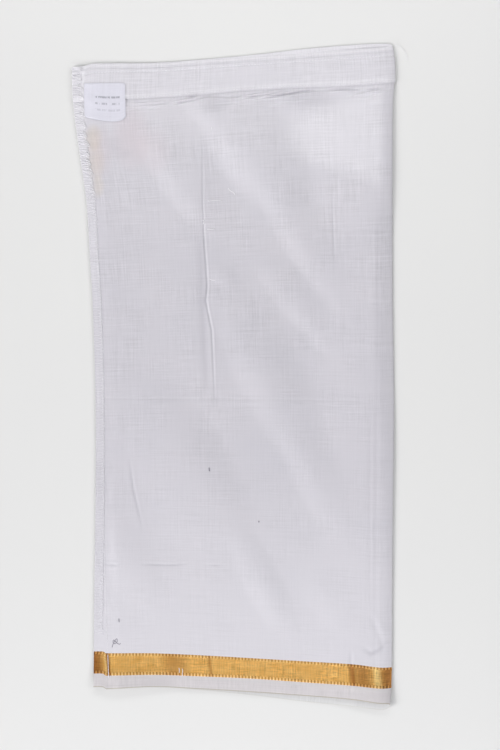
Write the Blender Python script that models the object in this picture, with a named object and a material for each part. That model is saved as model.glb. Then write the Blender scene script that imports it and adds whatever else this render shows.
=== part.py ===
"""Child's stitched dhoti, wrong side out and laid flat: a tube of sheer cloth with a waist casing, a zari
border, a selvedge and one overlocked side seam. +Y runs up to its waist, +Z is up, and it rests on z = 0."""

from collections import namedtuple
from math import cos, pi, radians, sin

import bmesh
import bpy

MM = 0.001

# Cloth walls, all in millimetres.
WALL = 1.0
CASING_WALL = 1.4
SEAM_WALL = 2.0
GAP = 0.3
SOFT_EDGE = 0.35

# The outline across the garment: where the side seam's raw edge, its stitch line and the fold lie at each
# height, and how high the cloth rolls over at the fold.
Along = namedtuple("Along", "y raw_edge seam fold crown")
ALONG = (
    Along(-270, -112.2, -99.2, 124.6, 4.2),
    Along(-240, -111.8, -99.6, 126.4, 4.4),
    Along(-180, -111.3, -102.0, 126.8, 4.6),
    Along(-100, -110.2, -103.6, 127.4, 5.0),
    Along(-20, -110.2, -104.4, 128.2, 5.3),
    Along(60, -112.6, -106.4, 127.2, 5.6),
    Along(100, -115.0, -108.8, 127.0, 5.7),
    Along(140, -117.4, -111.4, 127.0, 5.8),
    Along(180, -123.0, -117.4, 127.1, 5.7),
    Along(220, -128.2, -119.6, 127.4, 5.3),
    Along(245, -129.0, -119.2, 129.0, 4.8),
    Along(270, -129.0, -118.8, 126.6, 4.6),
)

# The lines that run across it, from the seam to the fold, and how much longer the under layer is at each end.
Across = namedtuple("Across", "x hem border_foot border_head casing_seam waist hem_under waist_under")
ACROSS = (
    Across(-130, -247.4, -236.8, -219.2, 219.4, 247.4, 0.0, 0.0),
    Across(-119, -247.6, -237.0, -219.4, 220.2, 248.4, 0.4, 0.0),
    Across(-113, -247.8, -237.2, -219.6, 220.6, 250.2, 0.8, 0.0),
    Across(-99, -248.8, -238.0, -220.6, 221.4, 250.5, 1.4, 0.0),
    Across(-64, -247.8, -238.2, -221.6, 223.2, 250.9, 2.8, 0.0),
    Across(-24, -249.8, -239.6, -223.0, 226.0, 253.5, 2.8, 0.2),
    Across(16, -252.2, -241.4, -225.0, 229.5, 256.1, 4.0, 1.2),
    Across(56, -255.0, -244.2, -227.4, 231.5, 258.9, 4.8, 3.0),
    Across(96, -258.2, -247.0, -229.8, 232.9, 261.7, 5.9, 3.6),
    Across(118, -261.2, -249.2, -232.4, 234.4, 263.3, 5.4, 3.0),
    Across(130, -260.4, -248.4, -232.0, 235.3, 264.1, 4.8, 2.2),
)

# The fold: the cloth rises to its crown over ROLL_RISE and rounds down over ROLL_FALL to the nose, where the
# front and back layers meet edge to edge.
ROLL_RISE = 58.0
ROLL_FALL = 14.0
UNDER_FALL = 8.0
NOSE = 0.45
CASING_RAMP = 15.0

# Soft swells of the front layer: a ridge from (x, y) along a bearing, half as wide as its width each side.
Swell = namedtuple("Swell", "x y bearing length width height")
SWELLS = (
    Swell(-18, 50, -84, 330, 130, 0.95),
    Swell(20, 150, -56, 210, 46, 0.9),
    Swell(-36, 110, -55, 150, 40, 0.6),
    Swell(76, 190, -44, 130, 60, 1.0),
    Swell(8, -40, -58, 190, 44, 0.7),
    Swell(-70, -60, -70, 200, 46, 0.5),
    Swell(40, -170, -60, 160, 50, 0.6),
)

# The main crease, a soft trough down the front: where it runs and how deep it is.
Crease = namedtuple("Crease", "y x depth")
CREASE = (
    Crease(-270, -4.0, 0.0),
    Crease(-60, -12.6, 0.0),
    Crease(-18, -14.8, 0.35),
    Crease(38, -17.2, 0.75),
    Crease(112, -22.0, 0.55),
    Crease(190, -25.4, 0.0),
    Crease(270, -29.0, 0.0),
)
CREASE_HALF_WIDTH = 3.0

# Edges of both layers that curl off the table: the middle of each curl, its reach and its height.
Curl = namedtuple("Curl", "x y reach_x reach_y height")
CURLS = (
    Curl(-100, 262, 62, 44, 3.6),
    Curl(-92, -262, 56, 42, 4.2),
    Curl(118, -276, 46, 40, 3.0),
)

# The label, whose left edge is caught in the side seam.
LABEL_WIDTH = 35.0
LABEL_LENGTH = 32.5
LABEL_TOP = 235.6
LABEL_CURL = 1.6

# Cells of each wall: across the flat, across the roll, and along each stretch.
FLAT_CELLS = (8, 16)
ROLL_CELLS = 5
SEAM_CELLS = 2
LABEL_CELLS = 8
Stretch = namedtuple("Stretch", "name seam_name foot head wall cells_along material")
STRETCHES = (
    Stretch("selvedge", "side_seam_selvedge", "hem", "border_foot", WALL, 2, "sheer_selvedge"),
    Stretch("zari_border", "side_seam_border", "border_foot", "border_head", WALL, 2, "zari_gold"),
    Stretch("panel", "side_seam", "border_head", "casing_seam", WALL, 34, "white_cloth"),
    Stretch("waist_casing", "side_seam_waist", "casing_seam", "waist", CASING_WALL, 4, "white_cloth"),
)

# Colours (linear), roughness and metallic value of each material.
MATERIALS = {
    "white_cloth": ((0.63, 0.62, 0.66, 1.0), 0.7, 0.0),
    "sheer_selvedge": ((0.66, 0.63, 0.64, 1.0), 0.7, 0.0),
    "zari_gold": ((0.60, 0.35, 0.11, 1.0), 0.42, 0.5),
    "satin_label": ((0.80, 0.80, 0.82, 1.0), 0.4, 0.0),
}


def clear_scene():
    """Remove every object already in the file."""
    for thing in list(bpy.data.objects):
        bpy.data.objects.remove(thing, do_unlink=True)


def make_material(name):
    """Principled material with the named cloth's colour, roughness and metallic value."""
    colour, roughness, metallic = MATERIALS[name]
    material = bpy.data.materials.new(name)
    material.use_nodes = True
    shader = material.node_tree.nodes["Principled BSDF"]
    shader.inputs["Base Color"].default_value = colour
    shader.inputs["Roughness"].default_value = roughness
    shader.inputs["Metallic"].default_value = metallic
    return material


def ease(t):
    """Smooth step from 0 to 1."""
    t = min(1.0, max(0.0, t))
    return t * t * (3 - 2 * t)


def read(table, key, at, column):
    """Value of a table's column at a place between its rows, on a smooth curve through them."""
    last = len(table) - 2
    i = 0
    while i < last and at > getattr(table[i + 1], key):
        i += 1
    rows = [table[max(0, i - 1)], table[i], table[i + 1], table[min(len(table) - 1, i + 2)]]
    x0, x1, x2, x3 = (getattr(row, key) for row in rows)
    y0, y1, y2, y3 = (getattr(row, column) for row in rows)
    step = x2 - x1
    slope_1 = (y2 - y0) / (x2 - x0)
    slope_2 = (y3 - y1) / (x3 - x1)
    t = min(1.0, max(0.0, (at - x1) / step))
    rise = t * t * (3 - 2 * t)
    lead = t * (1 - t) * (1 - t) * slope_1 * step
    trail = t * t * (t - 1) * slope_2 * step
    return y1 + (y2 - y1) * rise + lead + trail


def line_y(line, x, under):
    """Height up the garment of one of the lines across it, on the front or the under layer."""
    y = read(ACROSS, "x", x, line)
    if not under:
        return y
    if line in ("waist", "casing_seam"):
        return y + read(ACROSS, "x", x, "waist_under")
    return y - read(ACROSS, "x", x, "hem_under")


def curl(x, y):
    """How far an edge of the garment curls off the table."""
    lift = 0.0
    for bump in CURLS:
        near = 1 - ((x - bump.x) / bump.reach_x) ** 2 - ((y - bump.y) / bump.reach_y) ** 2
        if near > 0:
            lift += bump.height * near * near
    return lift


def swell(x, y):
    """Height of the soft ridges at a point of the front layer."""
    total = 0.0
    for ridge in SWELLS:
        along_x = cos(radians(ridge.bearing))
        along_y = sin(radians(ridge.bearing))
        along = (x - ridge.x) * along_x + (y - ridge.y) * along_y
        off = (y - ridge.y) * along_x - (x - ridge.x) * along_y
        near = 1 - (along / (ridge.length / 2)) ** 2 - (off / (ridge.width / 2)) ** 2
        if near > 0:
            total += ridge.height * near * near
    return total


def crease_depth(x, y):
    """Depth of the main crease at a point of the front layer."""
    off = abs(x - read(CREASE, "y", y, "x")) / CREASE_HALF_WIDTH
    return read(CREASE, "y", y, "depth") * (1 - ease(off))


def crown(y):
    """Height of the roll at the fold."""
    return read(ALONG, "y", y, "crown")


def casing_lift(x, y):
    """How much the thicker casing, and the panel just under it, stand above the front panel."""
    under_seam = read(ACROSS, "x", x, "casing_seam") - y
    return (CASING_WALL - WALL) * 2 * (1 - ease(under_seam / CASING_RAMP))


def front_top(x, y):
    """Height of the front layer's upper side before the roll rounds it down."""
    rest = 2 * WALL + GAP
    into_roll = (x - read(ALONG, "y", y, "fold") + ROLL_FALL + ROLL_RISE) / ROLL_RISE
    blend = ease(into_roll)
    casing = casing_lift(x, y)
    flat = rest + casing + max(0.0, swell(x, y) - crease_depth(x, y))
    return flat * (1 - blend) + max(crown(y), rest + casing) * blend


def seam_top(x, y):
    """Height of the seam allowance's upper side, rounded down at its raw edge."""
    inward = (x - read(ALONG, "y", y, "raw_edge")) / 2.0
    return SEAM_WALL - SOFT_EDGE * (1 - ease(inward))


def settle(stretch, share_along, place_x, under):
    """Point (x, y) of a stretch: its share of the way along, at the x that place_x gives for a y."""
    y = (read(ACROSS, "x", 0, stretch.foot) + read(ACROSS, "x", 0, stretch.head)) / 2
    for _ in range(4):
        x = place_x(y)
        foot = line_y(stretch.foot, x, under) + GAP / 2
        head = line_y(stretch.head, x, under) - GAP / 2
        y = foot + (head - foot) * share_along
    return x, y


def flat_shares():
    """Where the flat's columns stand: shares of the way to the crease, then to the roll, and steps off it."""
    left, right = FLAT_CELLS
    before = [(i / left, -CREASE_HALF_WIDTH * i / left) for i in range(left + 1)]
    after = [(1 + i / right, CREASE_HALF_WIDTH * (1 - i / right)) for i in range(right + 1)]
    return before + [(1.0, 0.0)] + after


def flat_place(share, offset, reach):
    """Function giving a flat column's x at a height up the garment."""

    def place(y):
        seam = read(ALONG, "y", y, "seam") + GAP / 2
        roll = read(ALONG, "y", y, "fold") - reach
        middle = read(CREASE, "y", y, "x") + offset
        if share <= 1:
            return seam + (middle - seam) * share
        return middle + (roll - middle) * (share - 1)

    return place


def roll_place(reach):
    """Function giving the x where the roll starts."""
    return lambda y: read(ALONG, "y", y, "fold") - reach


def layer_row(stretch, share_along, under):
    """One row of a layer, from the seam to the nose: its outer and its inner points."""
    reach = UNDER_FALL if under else ROLL_FALL
    outer, inner = [], []
    for share, offset in flat_shares():
        x, y = settle(stretch, share_along, flat_place(share, offset, reach), under)
        top = curl(x, y) if under else curl(x, y) + front_top(x, y)
        outer.append((x, y, top))
        inner.append((x, y, top + stretch.wall if under else top - stretch.wall))
    for i in range(1, ROLL_CELLS + 1):
        turn = i / ROLL_CELLS * pi / 2
        x, y = settle(stretch, share_along, roll_place(reach), under)
        lift = curl(x, y)
        height = front_top(x, y)
        nose = height * NOSE
        side = -1 if under else 1
        middle = nose + side * GAP / 2
        tall = middle if under else height - middle
        for points, wall in ((outer, 0.0), (inner, stretch.wall)):
            out = x + (reach - wall) * sin(turn)
            points.append((out, y, lift + middle + side * (tall - wall) * cos(turn)))
    return outer, inner


def seam_row(stretch, share_along):
    """One row of the seam allowance, from its raw edge to its stitch line: its upper and its lower points."""
    upper, lower = [], []
    for i in range(SEAM_CELLS + 1):
        share = i / SEAM_CELLS

        def place(y, share=share):
            raw = read(ALONG, "y", y, "raw_edge")
            return raw + (read(ALONG, "y", y, "seam") - GAP / 2 - raw) * share

        x, y = settle(stretch, share_along, place, False)
        upper.append((x, y, curl(x, y) + seam_top(x, y)))
        lower.append((x, y, curl(x, y)))
    return upper, lower


def label_rows():
    """The label on the panel and casing, its lower edge curled up: its upper and its lower rows."""
    upper, lower = [], []
    for j in range(LABEL_CELLS + 1):
        down = j / LABEL_CELLS
        y = LABEL_TOP - LABEL_LENGTH * down
        left = read(ALONG, "y", y, "seam") + GAP
        row = []
        for i in range(LABEL_CELLS + 1):
            x = left + LABEL_WIDTH * i / LABEL_CELLS
            lift = LABEL_CURL * ease((down - 0.55) / 0.45)
            row.append((x, y, curl(x, y) + front_top(x, y) + GAP + lift))
        lower.append(row)
        upper.append([(x, y, z + WALL) for x, y, z in row])
    return upper, lower


def build_wall(name, outer, inner, material):
    """Closed wall between two grids of points, as an object in metres."""
    mesh = bpy.data.meshes.new(name)
    work = bmesh.new()
    grids = []
    for grid in (outer, inner):
        grids.append([[work.verts.new([c * MM for c in point]) for point in row] for row in grid])
    for grid in grids:
        for low, high in zip(grid, grid[1:]):
            for i in range(len(low) - 1):
                work.faces.new((low[i], low[i + 1], high[i + 1], high[i]))
    rims = []
    for grid in grids:
        left = [row[0] for row in grid]
        right = [row[-1] for row in grid]
        rims.append((grid[0], right, grid[-1], left))
    for outer_edge, inner_edge in zip(*rims):
        for i in range(len(outer_edge) - 1):
            work.faces.new((outer_edge[i], outer_edge[i + 1], inner_edge[i + 1], inner_edge[i]))
    bmesh.ops.recalc_face_normals(work, faces=work.faces)
    work.to_mesh(mesh)
    work.free()
    mesh.shade_smooth()
    mesh.set_sharp_from_angle(angle=radians(40))
    mesh.materials.append(material)
    bpy.context.scene.collection.objects.link(bpy.data.objects.new(name, mesh))


def build_dhoti():
    """Every stretch of the front layer, the back layer and the seam allowance, then the label."""
    materials = {name: make_material(name) for name in MATERIALS}
    for stretch in STRETCHES:
        shares = [j / stretch.cells_along for j in range(stretch.cells_along + 1)]
        for layer, under in (("front", False), ("back", True)):
            rows = [layer_row(stretch, share, under) for share in shares]
            name = f"{layer}_{stretch.name}"
            build_wall(name, [r[0] for r in rows], [r[1] for r in rows], materials[stretch.material])
        rows = [seam_row(stretch, share) for share in shares]
        build_wall(stretch.seam_name, [r[0] for r in rows], [r[1] for r in rows], materials[stretch.material])
    upper, lower = label_rows()
    build_wall("care_label", upper, lower, materials["satin_label"])


clear_scene()
build_dhoti()
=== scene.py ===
"""Looks of a child's stitched dhoti, wrong side out and laid flat: a tube of sheer silk-cotton with its
casing, zari border, selvedge, overlocked side seam, label and threads. Sizes are in millimetres."""

from collections import namedtuple
from math import pi, radians

import bpy
import numpy as np
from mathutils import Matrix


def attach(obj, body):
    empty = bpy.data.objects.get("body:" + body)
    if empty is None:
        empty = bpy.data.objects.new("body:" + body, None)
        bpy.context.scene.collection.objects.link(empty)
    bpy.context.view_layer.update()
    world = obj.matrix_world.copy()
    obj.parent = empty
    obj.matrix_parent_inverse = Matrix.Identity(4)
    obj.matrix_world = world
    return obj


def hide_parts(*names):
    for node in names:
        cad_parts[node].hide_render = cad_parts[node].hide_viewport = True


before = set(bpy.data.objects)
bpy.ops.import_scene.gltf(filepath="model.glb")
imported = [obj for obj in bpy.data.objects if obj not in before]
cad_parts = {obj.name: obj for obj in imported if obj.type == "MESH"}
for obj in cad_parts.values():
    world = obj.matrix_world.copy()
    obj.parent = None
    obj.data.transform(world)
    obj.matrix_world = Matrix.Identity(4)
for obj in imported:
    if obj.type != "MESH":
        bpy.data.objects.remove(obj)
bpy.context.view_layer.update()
MM = 0.001

# ---------------------------------------------------------------- the cut and how it lies

# Where the side seam's raw edge, its stitch line and the fold lie up the garment, and how high the cloth
# rolls over at the fold.
Along = namedtuple("Along", "y raw_edge seam fold crown")
ALONG = (
    Along(-270, -112.2, -99.2, 124.6, 3.3),
    Along(-240, -111.8, -99.6, 126.4, 3.5),
    Along(-180, -111.3, -102.0, 126.8, 3.5),
    Along(-100, -110.2, -103.6, 127.4, 4.2),
    Along(-20, -110.2, -104.4, 128.2, 5.1),
    Along(60, -112.6, -106.4, 127.2, 5.6),
    Along(100, -115.0, -108.8, 127.0, 5.7),
    Along(140, -117.4, -111.4, 127.0, 5.8),
    Along(180, -123.0, -117.4, 127.1, 5.3),
    Along(220, -128.2, -119.6, 127.4, 4.7),
    Along(245, -129.0, -119.2, 129.0, 3.6),
    Along(270, -129.0, -118.8, 126.6, 3.3),
)

# The lines that run across it, and how much longer the under layer is at each end.
Across = namedtuple("Across", "x hem border_foot border_head casing_seam waist hem_under waist_under")
ACROSS = (
    Across(-130, -247.4, -236.8, -219.2, 219.4, 247.4, 0.0, 0.0),
    Across(-119, -247.6, -237.0, -219.4, 220.2, 248.4, 0.0, 0.0),
    Across(-113, -247.8, -237.2, -219.6, 220.6, 250.2, 0.0, 0.0),
    Across(-103.9, -247.9, -237.3, -219.7, 221.0, 250.4, 0.0, 0.0),
    Across(-102.5, -249.4, -238.7, -220.9, 221.2, 250.4, 0.0, 0.0),
    Across(-99, -249.3, -238.7, -221.0, 221.4, 250.5, 0.0, 0.0),
    Across(-64, -247.8, -238.2, -221.0, 223.2, 250.9, 0.1, 0.0),
    Across(-24, -249.8, -239.6, -222.7, 226.0, 253.5, 1.0, 0.2),
    Across(16, -252.2, -241.4, -225.0, 229.5, 256.1, 2.6, 1.2),
    Across(56, -255.0, -244.2, -227.4, 231.5, 258.9, 4.8, 3.0),
    Across(96, -258.2, -247.0, -229.8, 232.9, 261.7, 5.6, 3.6),
    Across(118, -261.2, -249.2, -232.4, 234.4, 263.3, 5.0, 3.0),
    Across(130, -260.4, -248.4, -232.0, 235.3, 264.1, 4.4, 2.2),
)

# Heights off the table of the front and back layers and of the two plies of the seam allowance.
FRONT_REST = 2.3
BACK_REST = 0.45
STRIP_FRONT = 1.8
STRIP_BACK = 0.95
# How far in from the seam the layers take to come to the allowance's height.
STRIP_STEP = 11.0
# The roll at the fold: how far in the front starts to rise to it, how wide its fall to the edge is on the
# front and underneath, and how high the edge lies as a share of the crown, along its run and at both ends.
ROLL_RISE = 58.0
ROLL_FALL = 14.0
UNDER_FALL = 8.0
NOSE = 0.16
NOSE_AT_ENDS = 0.4
# How flat the front stays before it falls to the edge: the power of its fall, what the waist's end and the
# hem's end add to that, and the share of a round fall that is mixed in.
ROLL_POWER = 1.5
POWER_AT_WAIST = 2.0
POWER_AT_HEM = 1.3
ROUND_SHARE = 0.3
# How far the front settles at the waist's edge, and over what reach.
TOP_SETTLE = 1.5
TOP_SETTLE_REACH = 5.0
# The ramp below the casing's seam, and how much its second ply adds.
CASING_RAMP = 15.0
CASING_PLY = 0.5

# Edges that curl off the table: the middle of each curl, its reach and its height.
Curl = namedtuple("Curl", "x y reach_x reach_y height")
CURLS = (
    Curl(-100, 262, 62, 44, 0.8),
    Curl(-92, -262, 56, 42, 4.2),
    Curl(118, -276, 46, 40, 3.0),
)

# Soft folds of the front layer: a crest through (x, y) along a bearing in degrees, steep over its left width
# on the lower left and easing away over its right width on the upper right.
Fold = namedtuple("Fold", "x y bearing length left right height")
FOLDS = (
    Fold(-18, 50, -84, 330, 65, 65, 0.96),
    Fold(14, 176, -52, 136, 28, 44, 4.3),
    Fold(59, 104, -57, 150, 19, 30, 2.2),
    Fold(-42, 158, -56, 130, 20, 36, 2.3),
    Fold(-8, 79, -38, 40, 9, 12, 0.8),
    Fold(27, -2, -63, 190, 26, 34, 2.3),
    Fold(71, -87, -60, 130, 22, 28, 1.6),
    Fold(54, 56, -49, 140, 16, 22, 1.44),
    Fold(-35, -72, -59, 190, 54, 36, 2.7),
    Fold(24, -165, -63, 120, 18, 17, 1.1),
    Fold(66, 212, -15, 84, 18, 16, 1.28),
    Fold(-24, 214, -40, 46, 14, 14, 1.28),
    Fold(114, 190, -68, 130, 50, 30, 0.9),
    Fold(108, 208, -74, 70, 26, 20, 0.7),
    Fold(96, 30, -86, 160, 20, 20, 0.8),
    Fold(-84, -150, -60, 110, 24, 26, 0.96),
    Fold(84, -180, -48, 90, 24, 24, 0.96),
)

# Creases of the front layer: each point of a path is (x, y, depth), a trough where depth is positive, with a
# line of painted shade darkening it. They are the main crease and its shoulder, a short one to its right, two
# memories of an old fold, two across, three low ones across, one slanting at the left, a dent in the border,
# and two by the lower right corner.
Crease = namedtuple("Crease", "half_width soil path")
CREASES = (
    Crease(0.8, 1.0, ((-25.0, 185, 0.1), (-24.6, 141, 0.3), (-24.0, 118, 0.5), (-22.4, 94, 0.5),
                      (-21.0, 73, 0.6), (-22.2, 61, 0.45), (-17.4, 37, 0.45), (-15.0, -17, 0.15))),
    Crease(3.4, 0.35, ((-27.0, 120, 0.0), (-25.6, 100, 0.45), (-24.4, 60, 0.5), (-21.6, 0, 0.3),
                       (-20.0, -16, 0.0))),
    Crease(0.8, 0.8, ((78.8, 158, 0.0), (79.6, 120, 0.34), (80.8, 76, 0.0))),
    Crease(1.1, 0.3, ((114.6, 214, 0.0), (115.2, 120, 0.16), (114.8, 20, 0.2), (114.0, -80, 0.2),
                      (113.6, -170, 0.2), (113.0, -222, 0.14), (112.6, -256, 0.2))),
    Crease(1.0, 0.5, ((109.2, -18, 0.0), (109.0, -60, 0.16), (108.8, -150, 0.16), (108.4, -182, 0.0))),
    Crease(0.9, 0.3, ((-108, -17.4, 0.1), (-60, -17.6, 0.2), (0, -18.2, 0.15), (60, -18.6, 0.18),
                      (112, -18.8, 0.12))),
    Crease(0.9, 0.0, ((-34, 25.6, 0.0), (10, 25.4, 0.1), (70, 25.2, 0.1), (126, 25.0, 0.0))),
    Crease(0.9, 0.8, ((-103, -150, 0.12), (-96, -150.6, 0.25), (-89, -150, 0.0))),
    Crease(0.9, 1.0, ((-76, -149.6, 0.0), (-62, -150.2, 0.3), (-46, -150.4, 0.25), (-35, -149.6, 0.0))),
    Crease(0.9, 0.6, ((-26, -150, 0.0), (-16, -150.4, 0.2), (-3, -150.6, 0.0))),
    Crease(1.0, 1.0, ((-83.6, -62, 0.0), (-81.8, -78, 0.3), (-79.6, -92, 0.35), (-76.4, -106, 0.25),
                      (-71.6, -126, 0.0))),
    Crease(1.3, 0.5, ((93.6, -216, 0.0), (93.6, -226, 0.3), (93.6, -242, 0.3), (93.4, -254, 0.1))),
    Crease(1.8, 0.6, ((102, -216, 0.0), (110, -221, 0.5), (117, -218, 0.45), (124, -210, 0.0))),
    Crease(2.2, 0.0, ((108, -188, 0.0), (114, -200, 0.4), (119, -214, 0.3), (121, -222, 0.0))),
)

# Puckers where the cloth is gathered a little into the casing's seam: fine troughs that run nearly along it.
# Drops are measured down from the seam.
Pucker = namedtuple("Pucker", "x_from x_to drop_from drop_to depth half_width")
PUCKERS = (
    Pucker(-86, -48, 2.8, 2.6, 0.66, 0.6),
    Pucker(-86, -38, 5.6, 5.0, 0.66, 0.7),
    Pucker(-86, -58, 9.0, 8.2, 0.528, 0.7),
    Pucker(-60, -28, 4.8, 0.8, 0.99, 0.7),
    Pucker(-54, -16, 7.4, 1.4, 0.924, 0.7),
    Pucker(-40, 26, 0.8, 6.6, 0.594, 0.8),
    Pucker(-20, 8, 9.0, 10.0, 0.462, 0.9),
    Pucker(-8, 40, 5.0, 0.8, 0.858, 0.7),
    Pucker(2, 54, 7.0, 1.4, 0.924, 0.7),
    Pucker(12, 66, 8.8, 2.2, 0.858, 0.7),
    Pucker(26, 80, 6.8, 1.2, 0.792, 0.7),
    Pucker(28, 64, 12.6, 8.2, 0.528, 1.0),
    Pucker(56, 116, 3.8, 2.0, 0.792, 0.7),
    Pucker(70, 124, 2.2, 5.0, 0.726, 0.8),
    Pucker(90, 126, 7.6, 2.4, 0.858, 0.8),
    Pucker(104, 127, 10.5, 3.4, 0.792, 0.9),
)

# Stains and greyer places on the cloth, some of them dirt and the two just below the casing's seam painted
# shade: centre, half sizes, and how strong each is.
Mark = namedtuple("Mark", "kind x y half_x half_y strength")
MARKS = (
    Mark("rust", -112, 191, 8, 12, 0.42),
    Mark("rust", -110, 172, 8, 18, 0.36),
    Mark("rust", -108, 152, 5.5, 10, 0.3),
    Mark("rose", -106, 180, 11, 24, 0.3),
    Mark("rose", -82, 192, 17, 30, 0.34),
    Mark("rose", -64, 180, 16, 22, 0.22),
    Mark("rose", -96, 210, 8, 8, 0.2),
    # Painted shade: these two dark spots just below the casing's seam.
    Mark("soil", -15, 218, 13, 8, 0.5),
    Mark("soil", 62, 222, 24, 7, 0.5),
    Mark("soil", -96, 185, 9, 8, 0.3),
    Mark("soil", -88, 178, 8, 5, 0.3),
    Mark("soil", -105, -82, 6, 22, 0.3),
    Mark("soil", -91.6, -194.6, 2.4, 1.6, 0.8),
)

# Painted shade and highlights on the gilt along the border, for its turns away from and towards the light:
# centre, half width and how dark it is painted, or brighter if negative.
GiltPaintedLight = namedtuple("GiltPaintedLight", "x half_width strength")
GILT_PAINTED_LIGHT = (
    GiltPaintedLight(-112, 10, 0.9),
    GiltPaintedLight(-102.2, 0.9, -0.8),
    GiltPaintedLight(-100.3, 1.8, 0.95),
    GiltPaintedLight(-47, 13, 0.42),
    GiltPaintedLight(-19, 1.8, 0.55),
    GiltPaintedLight(93.6, 3.0, 0.7),
    GiltPaintedLight(102, 9, 0.65),
    GiltPaintedLight(114, 4.0, -0.8),
    GiltPaintedLight(123, 9, 0.8),
)

# ---------------------------------------------------------------- reading the tables


def ease(t):
    """Smooth step from 0 to 1."""
    t = np.clip(t, 0.0, 1.0)
    return t * t * (3 - 2 * t)


def rise(at, start, end):
    """Smooth step from 0 at the start to 1 at the end."""
    return ease((at - start) / (end - start))


def bell(off, width):
    """1 in the middle, easing to 0 about two widths away."""
    return np.exp(-(off / width) ** 2)


def read(table, key, at, column):
    """Values of a table's column at places between its rows, on a smooth curve through them."""
    places = np.array([getattr(row, key) for row in table], float)
    values = np.array([getattr(row, column) for row in table], float)
    at = np.clip(at, places[0], places[-1])
    i = np.clip(np.searchsorted(places, at) - 1, 0, len(places) - 2)
    before = np.maximum(i - 1, 0)
    after = np.minimum(i + 2, len(places) - 1)
    step = places[i + 1] - places[i]
    slope_in = (values[i + 1] - values[before]) / (places[i + 1] - places[before]) * step
    slope_out = (values[after] - values[i]) / (places[after] - places[i]) * step
    return hermite(values[i], values[i + 1], slope_in, slope_out, (at - places[i]) / step)


def hermite(first, last, slope_in, slope_out, t):
    """Smooth curve from a first value to a last one with the slopes given."""
    between = first + (last - first) * t * t * (3 - 2 * t)
    return between + t * (1 - t) ** 2 * slope_in + t * t * (t - 1) * slope_out


def seam_line(y):
    """The x of the side seam's stitch line."""
    return read(ALONG, "y", y, "seam")


def below_casing(x, y):
    """Distance down from the casing's seam."""
    return read(ACROSS, "x", x, "casing_seam") - y


def below_waist(x, y):
    """Distance down from the waist's edge."""
    return read(ACROSS, "x", x, "waist") - y


def curl(x, y):
    """How far an edge of the garment curls off the table."""
    lift = np.zeros(np.broadcast(x, y).shape)
    for bump in CURLS:
        near = 1 - ((x - bump.x) / bump.reach_x) ** 2 - ((y - bump.y) / bump.reach_y) ** 2
        lift += bump.height * np.clip(near, 0, None) ** 2
    return lift


def folds(x, y):
    """Height of the soft folds."""
    total = np.zeros(np.broadcast(x, y).shape)
    for fold in FOLDS:
        run_x, run_y = np.cos(radians(fold.bearing)), np.sin(radians(fold.bearing))
        along = (x - fold.x) * run_x + (y - fold.y) * run_y
        off = (y - fold.y) * run_x - (x - fold.x) * run_y
        width = np.where(off < 0, fold.left, fold.right)
        near = 1 - (along / (fold.length / 2)) ** 2 - (off / width) ** 2
        total += fold.height * np.clip(near, 0, None) ** 2
    return total


# The ridge beside each crease: its share of the trough's depth, and its place and width in half widths. Then
# the depth at which a crease holds its full painted shade, and the painted shade's width in half widths.
RIDGE_SHARE = 0.35
RIDGE_OFF = 2.2
RIDGE_WIDTH = 1.2
FULL_SHADE_DEPTH = 0.3
SHADE_WIDTH = 0.8


def creases(x, y):
    """Depth of the creases, each a soft trough with a lower ridge beside it, and the painted shade along
    them.
    """
    total = np.zeros(np.broadcast(x, y).shape)
    soil = np.zeros(total.shape)
    for crease in CREASES:
        nearest = np.full(total.shape, 1e9)
        depth = np.zeros(total.shape)
        side = np.zeros(total.shape)
        for (ax, ay, a_deep), (bx, by, b_deep) in zip(crease.path, crease.path[1:]):
            run_x, run_y = bx - ax, by - ay
            t = np.clip(((x - ax) * run_x + (y - ay) * run_y) / (run_x ** 2 + run_y ** 2), 0, 1)
            off = np.hypot(x - ax - run_x * t, y - ay - run_y * t)
            closer = off < nearest
            nearest = np.where(closer, off, nearest)
            depth = np.where(closer, a_deep + (b_deep - a_deep) * t, depth)
            side = np.where(closer, np.sign((y - ay) * run_x - (x - ax) * run_y), side)
        off = nearest * side / crease.half_width
        total += depth * (bell(off, 1.0) - RIDGE_SHARE * bell(off - RIDGE_OFF, RIDGE_WIDTH))
        # Painted shade: each crease darkens the cloth along its trough, more where it is deeper.
        soil += crease.soil * depth / FULL_SHADE_DEPTH * bell(off, SHADE_WIDTH)
    return total, soil


# Depth of the groove under the casing's seam, and the ridge beside each pucker: its share of the pucker's
# depth, and its place in half widths.
SEAM_GROOVE = 0.34
PUCKER_RIDGE_SHARE = 0.8
PUCKER_RIDGE_OFF = 1.9


def puckers(x, y):
    """Depth of the groove under the casing's seam and of the puckers below it, with a ridge beside each."""
    below = below_casing(x, y)
    total = SEAM_GROOVE * bell(below - 1.0, 0.75)
    for pucker in PUCKERS:
        t = np.clip((x - pucker.x_from) / (pucker.x_to - pucker.x_from), 0, 1)
        off = (below - pucker.drop_from - (pucker.drop_to - pucker.drop_from) * t) / pucker.half_width
        fade = np.sin(t * pi) ** 0.6
        beside = PUCKER_RIDGE_SHARE * bell(off - PUCKER_RIDGE_OFF, 1.0)
        total += fade * pucker.depth * (bell(off, 1.0) - beside)
    return total


def front_rise(x, y):
    """Height of the front layer before the fold rounds it down."""
    start = read(ALONG, "y", y, "fold") - ROLL_FALL
    casing = near_casing(x, y) * CASING_PLY / 2
    blend = ease((x - start + ROLL_RISE) / ROLL_RISE)
    height = FRONT_REST + casing + folds(x, y)
    crown = np.maximum(read(ALONG, "y", y, "crown"), FRONT_REST + casing)
    height = np.maximum(height, height * (1 - blend) + crown * blend)
    height = height - TOP_SETTLE * bell(below_waist(x, y), TOP_SETTLE_REACH)
    by_seam = 1 - ease((x - seam_line(y)) / STRIP_STEP)
    return height * (1 - by_seam) + (STRIP_FRONT + casing) * by_seam


def near_ends(y):
    """1 over the upper and the lower stretch of the garment and 0 between them, one value for each."""
    return rise(y, 110, 170), rise(y, 10, -80)


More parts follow.
